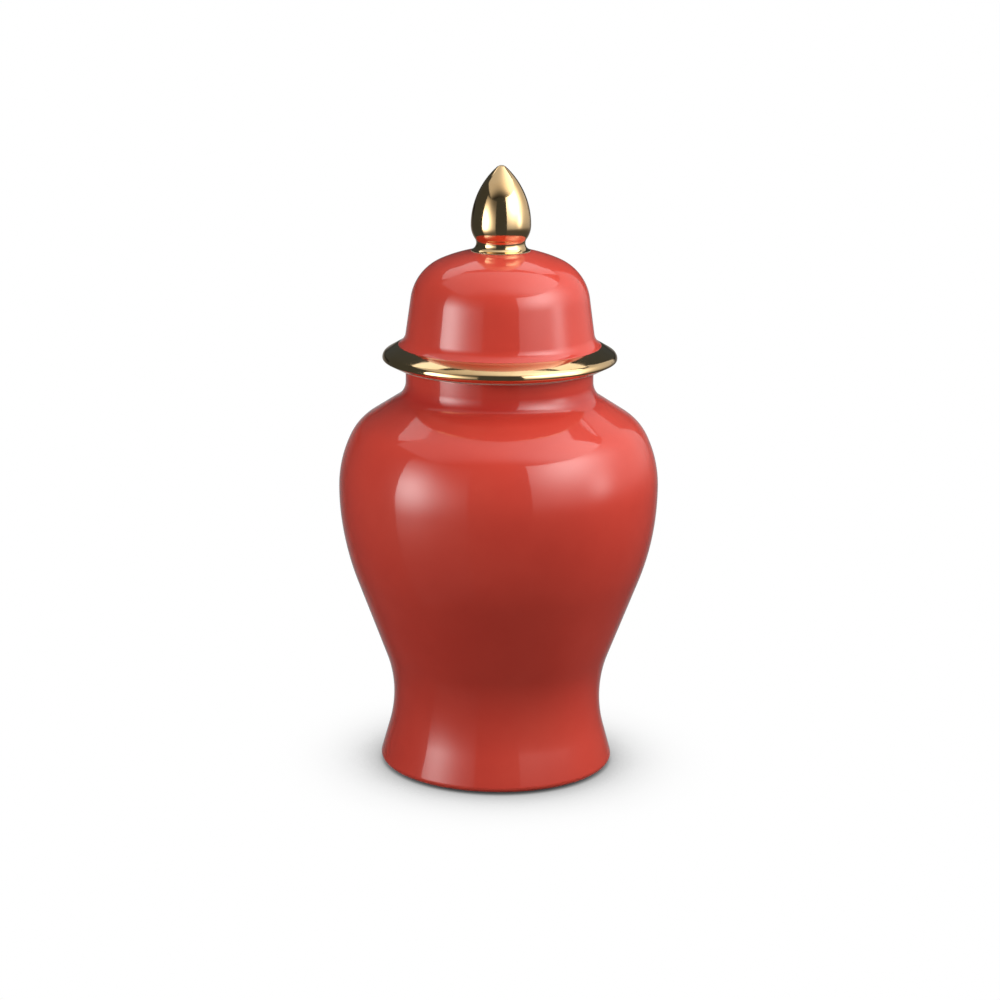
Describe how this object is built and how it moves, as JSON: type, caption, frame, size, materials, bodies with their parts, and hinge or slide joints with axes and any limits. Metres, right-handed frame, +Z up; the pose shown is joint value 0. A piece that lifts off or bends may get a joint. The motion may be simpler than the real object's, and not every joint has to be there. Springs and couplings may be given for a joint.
{
  "type": "ginger jar",
  "caption": "Lidded ginger jar in glazed ceramic, with a tall shouldered body on a flared foot and a lift-off domed lid with a bud finial.",
  "frame": {"origin": "on the jar's axis, in the plane it stands on", "axes": "+Z up along the jar's axis, through the finial's tip; the shape is round, so +X and +Y are free"},
  "size_m": [0.2402, 0.2402, 0.457],
  "materials": {
    "coral_glaze": "high-gloss coral red glaze",
    "gold_lustre": "mirror-bright gold lustre fired over the glaze",
    "bare_ceramic": "unglazed fired clay",
    "felt": "dark wool felt"
  },
  "bodies": {
    "jar": {"jar_body": "coral_glaze", "foot_pad_1": "felt", "foot_pad_2": "felt", "foot_pad_3": "felt", "foot_pad_4": "felt"},
    "lid": {"lid_dome": "coral_glaze", "lid_flange": "gold_lustre", "lid_collar": "bare_ceramic", "finial": "gold_lustre"}
  },
  "joints": [
    {"name": "lid_lift", "type": "slide", "parent": "jar", "child": "lid", "axis": [0, 0, 1], "range_m": [0, 0.15]}
  ]
}
